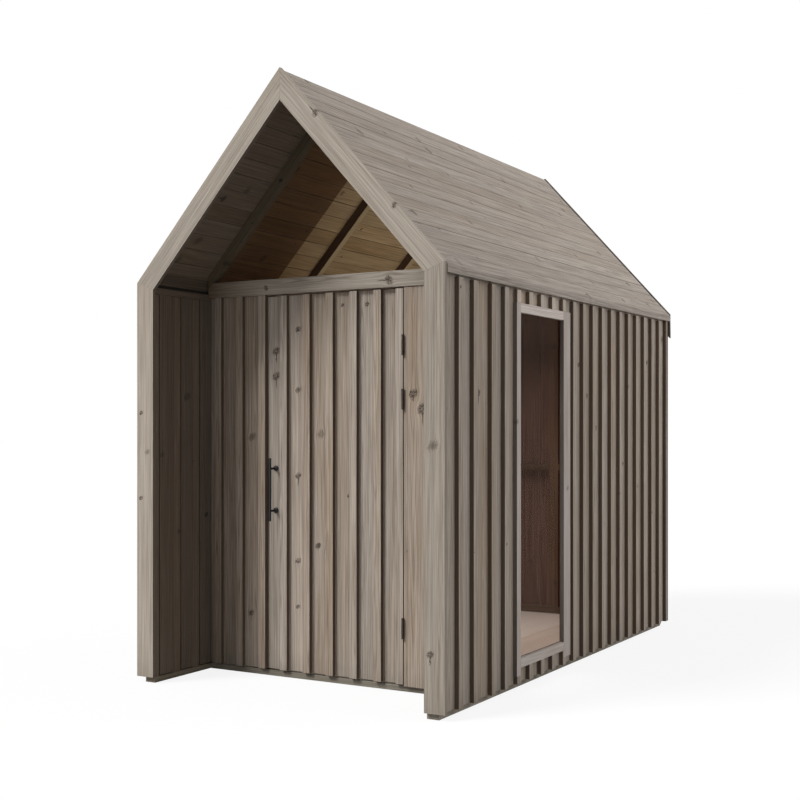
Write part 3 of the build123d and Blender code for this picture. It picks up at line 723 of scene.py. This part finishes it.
timbers = [upright(STUD_IN, middle, -X, *STUD, RAIL_TOP, PLATE_FOOT)
           for middle in (0.7975, 1.5635)]
timbers.append(timber((STUD_IN, 0.820, 0.1025), Y, -X, *STUD, (0, 0.721)))
bead = {"bow": 0.0, "sides": 0.6, "knot_gap": 0}
for middle in (NEAR_JAMB + 0.005, FAR_JAMB - 0.005):
    timbers.append(upright(STUD_OUT, middle, -X, 0.010, 0.018, OPENING_FOOT, OPENING_HEAD, **bead))
for z in (OPENING_FOOT + 0.005, OPENING_HEAD - 0.005):
    timbers.append(timber((STUD_OUT, 0.820, z), Y, -X, 0.010, 0.018, (0, 0.610), **bead))
build("window_frame_timbers", timbers, [framing_spruce], "shed", "inner_framing", "window_frame")


def finish_nodes(material, *names):
    """Gives the CAD's own nodes their material."""
    for name in names:
        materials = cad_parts[name].data.materials
        materials.clear()
        materials.append(material)


# Float glass, clear, with a film of dust that makes its gloss soft and uneven.
clear_glass = bpy.data.materials.new("float_glass_clear")
tree = bare_tree(clear_glass)
place = add(tree, "TexCoord", out="Object")
dust = blotches(tree, place, (7, 7, 7), 0.4, 0.8, least=0.02, most=0.09, detail=5.0)
pane = add(tree, "BsdfPrincipled", {"Base Color": (0.02, 0.02, 0.02, 1),
           "Roughness": dust, "IOR": 1.45, "Specular IOR Level": 0.15, "Alpha": 0.06})
add(tree, "OutputMaterial", {0: pane}, out=None)
finish_nodes(clear_glass, "window_glass")


# Porch linings. The inner faces of the two side walls in the porch are clad in stained boards:
# wide ones stand a little proud of narrow ones. A rail runs along their tops, with a slot over it
# up to the board that closes the wall under the roof; a near-black strip at the slot's back is
# painted shade, and the rest keep the stain.

porch_spruce = sawn_wood("stained_spruce_porch", "7c6e60", "5c5044", "ece0cc", "18120c", "241d16",
                         rings=0.35)
linings = []
reach = 0, FRONT_STUD - WALL_START
for side in (-1, 1):
    for near, far, proud in ((0.022, 0.054, 0), (0.054, 0.165, 1), (0.165, 0.226, 0),
                             (0.226, 0.323, 1), (0.323, 0.382, 0), (0.382, 0.487, 1),
                             (0.487, 0.504, 0)):
        linings.append(upright(side * (PORCH if proud else 0.806), (near + far) / 2, -side * X,
                               far - near, BOARD if proud else 0.016,
                               0.036 if proud else SILL_TOP, 2.019,
                               tone=0.85 if proud else 1.12, sides=0.8))
    # The third of these, a thin strip at an eighth of the stain's tone, is painted shade in the
    # slot.
    for x, z, width, thick, more in ((PORCH, 2.0365, 0.033, BOARD, {"tone": 0.95}),
                                     (0.817, 2.102, 0.060, 0.005, {"tone": 0.75, "bow": 0.0}),
                                     (0.8195, 2.063, 0.024, 0.002,
                                      {"tone": 0.12, "bow": 0.0, "edge": 0.0005})):
        linings.append(timber((side * x, WALL_START, z), Y, -side * X, width, thick, reach,
                              knot_gap=0, **more))
build("porch_linings", linings, [porch_spruce], "shed", "porch_lining", "wing_lining_left",
      "wing_lining_right")


# Front wall beside the door. The same boards and battens left of the door; right of it the hinge
# post's nose and plain boards.

FRONT_BATTEN, FRONT_BOARD = 0.460, 0.482
fixed = []
# Battens are darker towards the porch wall: painted shade where its shadow falls. Their full hue
# warms them: painted warm light bounced into that shade.
for right, tone in ((-0.716, 0.76), (-0.572, 0.88), (-0.421, 1.05)):
    fixed.append(batten(right - BATTEN / 2, FRONT_BATTEN, -Y, 0.036, FRONT_TOP, knot_gap=0,
                        tone=tone, hue=1.0))
knots = [(-0.522, FRONT_BOARD, 1.275, -0.019), (-0.528, FRONT_BOARD, 0.325, 0.014)]
# Boards go from three quarters of full tone at the porch wall up to full tone: painted shade where
# the porch wall's shadow falls. Their full hue warms them: painted warm bounced light.
for left, right in between([-PORCH, -0.7385, -0.5945, -0.4435, -0.421]):
    fixed.append(upright((left + right) / 2, FRONT_BOARD, -Y, right - left, BOARD, 0.036,
                         FRONT_TOP, knots=knots, knot_gap=0, hue=1.0, materials=LINED,
                         tone=min(1.0, 0.74 + 0.55 * max(0, left + 0.75))))
build("front_boards_left", fixed, cladding, "shed", "weathered_cladding", "front_wall_left")

knots = [(0.487, FRONT_BATTEN, 1.497, 0.020), (0.540, FRONT_BATTEN, 1.420, 0.024)]
plain = [upright((left + right) / 2, 0.4605, -Y, right - left, 0.043, SILL_TOP, FRONT_TOP,
                 knots=knots, knot_gap=0, hue=1.0, bow=0.0003, materials=LINED)
         for left, right in ((0.453, 0.598), (0.600, 0.745), (0.747, PORCH))]
build("front_boards_right", plain, cladding, "shed", "weathered_cladding", "front_wall_right")

NOSE = 0.4555  # middle of the hinge post
post = [(0.433, FRONT_BATTEN), (0.453, FRONT_BATTEN), (0.453, FRONT_STUD), (0.478, FRONT_STUD),
        (0.478, FRONT_STUD_BACK), (0.433, FRONT_STUD_BACK)]
nose = upright(NOSE, FRONT_BATTEN, -Y, 0.045, 0.086, SILL_TOP, FRONT_TOP, bow=0.0, sides=0.5,
               section=[(NOSE - x, FRONT_BATTEN - depth) for x, depth in post])
build("hinge_post", [nose], [weathered_spruce], "shed", "weathered_trim", "door_post_right")


# Beam over the door. One 82 x 92 mm timber between the porch walls, a little proud of the boards,
# with its upper corners cut to seat the first rafters; its left end is darkened as painted shade.


def tinted(material, axis, start, length, first, last):
    """Multiplies the material's colour by first up to a place along an axis, and by last from
    a length past it, with an even change between them."""
    tree = material.node_tree
    place = add(tree, "TexCoord", out="Object")
    place = add(tree, "SeparateXYZ", {0: place}, out=axis)
    share = add(tree, "MapRange", {0: place, 1: start, 2: start + length})
    tint = add(tree, "Mix", {0: share, 6: (*first, 1), 7: (*last, 1)}, **COLOURS)
    surface = next(node for node in tree.nodes if node.type == "BSDF_PRINCIPLED")
    plain = surface.inputs["Base Color"].links[0].from_socket
    tint = add(tree, "Mix", {0: 1.0, 6: plain, 7: tint}, blend_type="MULTIPLY", **COLOURS)
    tree.links.new(tint, surface.inputs["Base Color"])


weathered_trim = sawn_wood("weathered_spruce_trim", "bfb5a9", "8d8276", "f2eadd", "3d2e20",
                           "4d4136", splash=0.2)
BEAM = 2.075  # height of its middle
seat = roof_line(PORCH, RAFTERS_UNDER) - BEAM
# Its underside takes nine tenths of the dark stain: partly stain kept out of the weather, partly
# painted shade in the gap over the door.
beam = timber((-PORCH, GABLE, BEAM), X, -Y, 0.082, 0.092, (0, 2 * PORCH), cuts=under_rafters,
              section=[(-0.041, -0.092), (-0.041, 0), (seat, 0), (0.041, 0), (0.041, -0.092),
                       (seat, -0.092)],
              knots=[(0.350, GABLE, 2.070, 0.020), (-0.411, GABLE, 2.070, 0.012)], bow=0.0003,
              hue=0.2, tone=0.94, knot_gap=0, sides=(0.9, 0.0))
beam_spruce = sawn_wood("weathered_spruce_beam_painted_shade", "bfb5a9", "8a7f72", "f2eadd", "3d2e20",
                        "4d4136", rings=0.8)
# Painted shade: the beam's colour darkens to between a fifth and a third at its left end, and
# comes up to full 0.4 m along.
tinted(beam_spruce, 0, -PORCH, 0.40, (0.35, 0.28, 0.21), (1, 1, 1))
build("door_beam", [beam], [beam_spruce], "shed", "weathered_trim", "front_beam")


# Portal. Four 22 x 107 mm boards frame the open front of the porch, mitred at the knees and the
# peak and nailed to the ends of the side walls and the roof boards; the best weathered of all.

PORTAL = 0.107  # width of its boards
portal = []
knots = [(-0.881, 0, 1.402, 0.010), (-0.881, 0, 0.959, 0.010), (-0.835, 0, 1.20, -0.012),
         (0.848, 0, 1.245, -0.021), (0.833, 0, 0.298, 0.015), (0.207, 0, 2.831, 0.015),
         (0.644, 0, 2.353, 0.012)]
alike = {"knots": knots, "knot_gap": 0, "bow": 0.0, "edge": 0.0006}
for side in (-1, 1):
    corner = np.array((side * BATTEN_FACE, 0, roof_line(BATTEN_FACE, 0)))
    inner = BATTEN_FACE - PORTAL
    inner = np.array((side * inner, 0, roof_line(inner, PORTAL)))
    mitre = unit(np.cross(corner - inner, (0, side, 0)))
    mitre = mitre if mitre[2] > 0 else -mitre
    # On the right post the outer side takes three tenths of the dark stain: painted shade on the
    # side turned from the front lamp.
    portal.append(upright(side * (BATTEN_FACE - PORTAL / 2), 0, -Y, PORTAL, BOARD,
                          SILL_TOP, 2.2, cuts=[(corner, mitre)],
                          sides=(0.3, 0.75) if side > 0 else (0.75, 0),
                          tone=1.04 if side < 0 else 0.84, hue=0.4, **alike))
    portal.append(timber((0, 0, roof_line(0, PORTAL / 2)), (side * RUN, 0, -RISE), -Y, PORTAL,
                         BOARD, (-0.2, 1.6), cuts=[((0, 0, 0), (-side, 0, 0)), (corner, -mitre)],
                         tone=0.95, hue=0.3, sides=(0.75, 0) if side > 0 else (0, 0.75),
                         **alike))
build("portal_boards", portal, [weathered_trim], "shed", "weathered_trim", "portal_post_left",
      "portal_post_right", "portal_barge_left", "portal_barge_right")


# Roof. Fourteen 25 x 97 mm boards a slope, laid lengthwise side by side on the rafters and cut
# plumb at the ridge and the eaves; grey above, stained below, with painted shade and light inside.

roof_spruce = sawn_wood("weathered_spruce_roof", "b8aea4", "82776d", "f3ece3", "4a3e34",
                        "3c332a", rings=0.35, knot_depth=0.8)
ceiling_spruce = sawn_wood("stained_spruce_ceiling_painted_light_and_shade", "7d7061", "5f5346", "e9dcc4", "1c160f",
                           "3c3226", rings=0.3)

# Behind the first rafters the ceiling is tinted dark brown, as in the photograph: partly the
# wood's colour, partly painted shade. From 1.055 m back it is tinted pale, with a sharp edge along
# the rafters: a painted pool of light. The upper faces are a little lighter towards the back.
tinted(ceiling_spruce, 1, front + 0.499, 0.001, (1, 1, 1), (0.80, 0.56, 0.31))
tinted(ceiling_spruce, 1, front + 1.055, 0.001, (1, 1, 1), (2.7, 3.5, 4.5))
tinted(roof_spruce, 1, front, 3.2, (0.93, 0.93, 0.93), (1.16, 1.16, 1.16))

ROOF_BOARDS = 14
ROOF_THICK = 0.025
lines = np.linspace(0, 0.913 / RUN, ROOF_BOARDS + 1)  # the joints, down the slope
knots = [(0.173, 0.714, 2.882, 0.010), (0.313, 0.703, 2.728, 0.009),
         (0.500, 0.415, 2.522, 0.010), (0.719, 0.288, 2.280, -0.014)]
for side, name in ((-1, "left"), (1, "right")):
    slope = []
    normal = np.array((side * RISE, 0, RUN))
    for i, (top, bottom) in enumerate(zip(lines[:-1], lines[1:])):
        middle = (top + bottom) / 2
        # Boards are 1.6 mm apart, and the first and the last are cut plumb: their lower faces
        # end `lean` further down the slope than their upper ones.
        half = (bottom - top) / 2 - 0.0008
        lean = ROOF_THICK * RISE / RUN
        upper_end = half - (lean if i == 0 else 0)
        lower_end = -half - (lean if i == ROOF_BOARDS - 1 else 0)
        section = np.array([(lower_end, -ROOF_THICK), (upper_end, -ROOF_THICK), (half, 0),
                            (-half, 0)])
        if side < 0:
            section = section[::-1] * (-1, 1)
        at = np.array((side * middle * RUN, WALL_START, roof_line(0, 0.005) - middle * RISE))
        at = at - normal * chance.uniform(0, 0.0012) * (0 < i < ROOF_BOARDS - 1)
        slope.append(timber(at, Y, normal, bottom - top, ROOF_THICK, (0, 3.201),
                            section=section, knots=knots if side > 0 else (), edge=0.0022,
                            bow=0.0, knot_gap=0.9, materials=LINED, sides=0.5,
                            tone=chance.uniform(0.93, 1.06)))
    build(f"{name}_roof_boards", slope, [roof_spruce, ceiling_spruce], "shed", "roof_boards",
          f"roof_{name}")


# Rear bargeboards. Two dark 22 x 107 mm boards over the ends of the roof boards, cut plumb
# at the peak and below the eaves.

dark_spruce = sawn_wood("dark_spruce_barge", "4b443d", "38322c", "c9b9a6", "171310", "2a2521",
                        rings=0.4)
barges = [timber((0, 3.245, roof_line(0, PORTAL / 2)), (side * RUN, 0, -RISE), Y, PORTAL, BOARD,
                 (-0.2, 1.7), cuts=plumb_cuts(side, BATTEN_FACE), bow=0.0) for side in (-1, 1)]
build("rear_bargeboards", barges, [dark_spruce], "shed", "dark_bargeboard", "rear_barge_left",
      "rear_barge_right")


# Door. The wall's boards and battens again, screwed to three ledges across the back, so that it
# reads as one with the wall when it is shut.

DOOR_FOOT, DOOR_TOP = 0.038, 2.025
# The ends of the door's boards and battens take eight tenths of the dark stain: partly the end
# grain's own colour, partly painted shade in the gap under the beam.
alike = {"ends": 0.8, "bow": 0.0004, "knot_gap": 0}
leaf = []
for right in (-0.281, -0.136, 0.009, 0.154, 0.299, 0.428):
    leaf.append(batten(right - BATTEN / 2, FRONT_BATTEN, -Y, DOOR_FOOT, DOOR_TOP,
                       tone=chance.uniform(1.0, 1.08), **alike))
knots = [(-0.363, 1.734, 0.019), (-0.363, 1.600, 0.019), (-0.222, 1.845, 0.014),
         (-0.222, 1.524, 0.014), (-0.222, 1.071, 0.015), (-0.222, 0.622, 0.014),
         (-0.222, 0.380, 0.010), (-0.076, 1.293, -0.020), (-0.095, 0.708, 0.014),
         (-0.033, 0.664, 0.010), (0.054, 1.959, 0.009), (0.096, 0.974, 0.010),
         (0.127, 0.102, 0.010), (0.205, 1.957, 0.010), (0.253, 0.480, 0.010),
         (0.253, 0.272, -0.012)]
knots = [(x, FRONT_BOARD, z, radius) for x, z, radius in knots]
for left, right in between([-0.416, -0.3035, -0.1585, -0.0135, 0.1315, 0.2765, 0.428]):
    leaf.append(upright((left + right) / 2, FRONT_BOARD, -Y, right - left, BOARD, DOOR_FOOT,
                        DOOR_TOP, knots=knots, materials=LINED, **alike))
build("door_boards", leaf, cladding, "door", "weathered_cladding", "door_leaf")

ledges = [timber((-0.388, 0.532, level + 0.0475), X, Y, 0.095, 0.028, (0, 0.788))
          for level in (0.190, 0.986, 1.782)]
build("door_back_ledges", ledges, [inner_spruce], "door", "inner_framing", "door_ledges")


# Hinges. Three steel butt hinges with a dark oxide finish; only the knuckles show when the door
# is shut, slightly worn on the round.


def coated_steel(name, first, second, gloss, scale, low, high, detail, dents, metallic):
    """Steel under a thin coat: its colour and roughness go from first to second with blotches
    of 1 / scale metres, and dents gives the strength and the height of their relief."""
    material = bpy.data.materials.new(name)
    tree = bare_tree(material)
    place = add(tree, "TexCoord", out="Object")
    worn = blotches(tree, place, (scale, scale, scale), low, high, detail=detail)
    colour = add(tree, "Mix", {0: worn, 6: linear(first), 7: linear(second)}, **COLOURS)
    gloss = add(tree, "MapRange", {0: worn, 3: gloss[0], 4: gloss[1]})
    relief = add(tree, "Bump", {"Strength": dents[0], "Distance": dents[1], "Height": worn})
    steel = add(tree, "BsdfPrincipled", {"Base Color": colour, "Roughness": gloss,
                "Metallic": metallic, "Normal": relief})
    add(tree, "OutputMaterial", {0: steel}, out=None)
    return material


# Oxide coat: near black and dull, worn to the metal in spots.
oxide_steel = coated_steel("dark_oxide_steel", "3d3934", "5a5046", (0.42, 0.68), 160, 0.45,
                           0.75, 3.0, (0.3, 0.0003), 0.6)
finish_nodes(oxide_steel, "hinges_on_door", "hinges_on_post")


# Door handle. A round steel pull bar, 15 mm thick and powder coated black, on two turned
# stand-offs with round roses.

# Powder coat: dark and satin, with the faint orange peel of a sprayed and baked coat.
black_coat = coated_steel("black_powder_coat", "17181b", "24262a", (0.26, 0.40), 900, 0, 1,
                          2.0, (0.2, 0.0002), 0.3)


def turned(profile, at, axis, sides=40):
    """A turned solid: profile points (distance along the axis, radius) carried round the axis.
    The first and last points have radius 0 and close the ends."""
    profile = np.array(profile, float)
    axis = unit(axis)
    first = unit(np.cross(axis, (0.3, 0.9, 0.5)))
    second = np.cross(axis, first)
    angle = np.linspace(0, 2 * math.pi, sides, endpoint=False)
    round_ = np.cos(angle)[:, None] * first + np.sin(angle)[:, None] * second
    middle = profile[1:-1]
    points = middle[:, None, :1] * axis + middle[:, None, 1:] * round_[None]
    points = np.concatenate([points.reshape(-1, 3), profile[[0, -1], :1] * axis])
    points = points + np.array(at, float) + (0, front, 0)
    rows = np.arange(len(middle) - 1)[:, None] * sides
    here, then = np.arange(sides), (np.arange(sides) + 1) % sides
    quads = np.stack([rows + here, rows + then, rows + sides + then, rows + sides + here], -1)
    last = (len(middle) - 1) * sides
    pole = len(points) - 2
    faces = quads.reshape(-1, 4).tolist()
    faces += np.stack([np.full(sides, pole), then, here], -1).tolist()
    faces += np.stack([np.full(sides, pole + 1), last + here, last + then], -1).tolist()
    return points, faces


half = 0.167  # of the bar's length
round_end = [(-half + 0.003 * (1 - math.cos(a)), 0.0045 + 0.003 * math.sin(a))
             for a in np.linspace(0, math.pi / 2, 5)]
bar = [(-half, 0)] + round_end + [(-z, r) for z, r in round_end[::-1]] + [(half, 0)]
stand = [(0, 0), (0.000, 0.006), (0.047, 0.006), (0.051, 0.0072), (0.053, 0.0105),
         (0.0532, 0.0145), (0.0540, 0.0153), (0.0555, 0.0155), (0.058, 0.0155), (0.058, 0)]
solids = [turned(profile, (-0.364, 0.424, z), axis)
          for profile, z, axis in ((bar, 0.996, Z), (stand, 0.884, Y), (stand, 1.108, Y))]
points, faces, start = [], [], 0
for some, these in solids:
    points.append(some)
    faces += [[i + start for i in face] for face in these]
    start += len(some)
mesh = bpy.data.meshes.new("pull_handle")
mesh.from_pydata(np.concatenate(points).tolist(), [], faces)
mesh.shade_smooth()
mesh.set_sharp_from_angle(angle=math.radians(40))
mesh.materials.append(black_coat)
put("pull_handle", mesh, "door", "black_handle", "door_handle")
